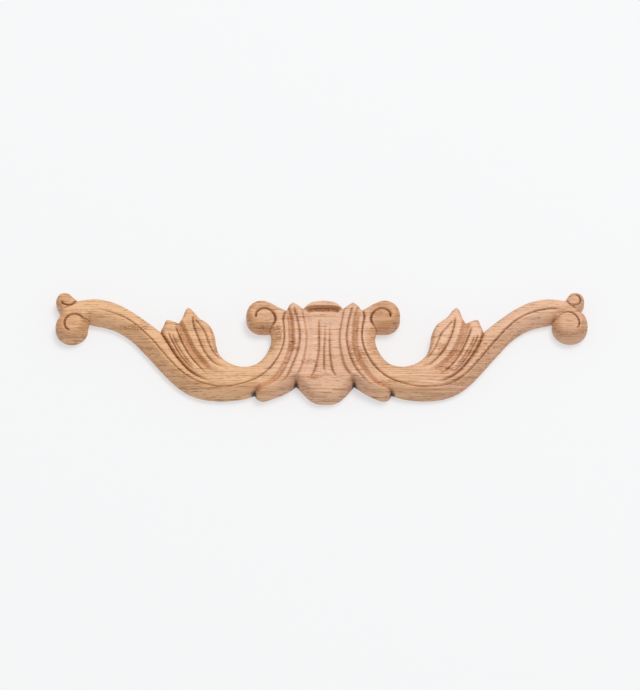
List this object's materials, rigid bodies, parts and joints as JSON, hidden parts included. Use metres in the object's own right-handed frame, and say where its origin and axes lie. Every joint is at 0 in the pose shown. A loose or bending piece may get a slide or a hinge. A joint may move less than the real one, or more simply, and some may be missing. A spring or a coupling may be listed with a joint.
{
  "type": "carved wooden applique",
  "caption": "Long carved oak scroll ornament with a fluted centre, acanthus leaves and volute ends, flat at the back to glue or pin on to furniture, a mantel or a panel.",
  "frame": {"origin": "on the flat back, at the middle of the ornament", "axes": "+X along the length to the viewer's right, +Y up the face, from the bulb to the lip, +Z out of the carved face"},
  "size_m": [0.3994, 0.09, 0.0174],
  "materials": {
    "oak": "bare unfinished oak, knife and gouge cut, grain along the length"
  },
  "bodies": {
    "root": {"applique": "oak"}
  },
  "joints": []
}
